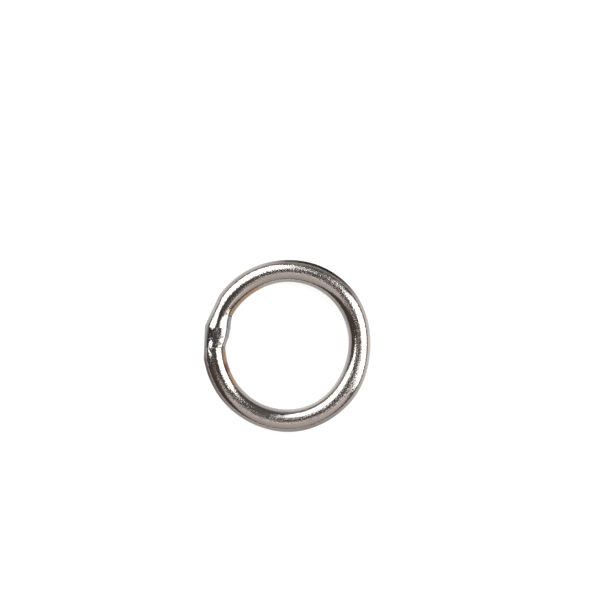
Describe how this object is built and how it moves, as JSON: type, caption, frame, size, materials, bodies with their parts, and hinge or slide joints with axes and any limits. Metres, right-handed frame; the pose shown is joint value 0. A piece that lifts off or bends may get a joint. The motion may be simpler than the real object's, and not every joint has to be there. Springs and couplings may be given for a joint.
{
  "type": "split key ring",
  "caption": "Steel split ring of D-section spring wire, coiled back to back with a cranked crossover; each cut end springs open to let a key on.",
  "frame": {"origin": "centre of the ring, on the plane where the two turns meet", "axes": "+Z along the ring's axis towards the front turn; the crossover is centred on -X; +Y is the ring's long axis"},
  "size_m": [0.0246, 0.0252, 0.0032],
  "materials": {
    "polished_wire": "tumble-polished stainless spring steel, fine orange-peel grain",
    "tinted_wire": "polished stainless spring steel with a faint straw heat tint in the recesses"
  },
  "bodies": {
    "ring": {"front_fixed_half": "polished_wire", "crossover": "tinted_wire", "back_fixed_half": "polished_wire"},
    "front_leaf": {"front_free_half": "polished_wire"},
    "back_leaf": {"back_free_half": "polished_wire"}
  },
  "joints": [
    {"name": "front_opening", "type": "hinge", "parent": "ring", "child": "front_leaf", "pos_m": [0.01232, 0, 0], "axis": [0, 1, 0], "range_deg": [0, 7], "stiffness_Nm_per_rad": 2, "springref_deg": -1.15},
    {"name": "back_opening", "type": "hinge", "parent": "ring", "child": "back_leaf", "pos_m": [0.01232, 0, 0], "axis": [0, -1, 0], "range_deg": [0, 7], "stiffness_Nm_per_rad": 2, "springref_deg": -1.15}
  ]
}
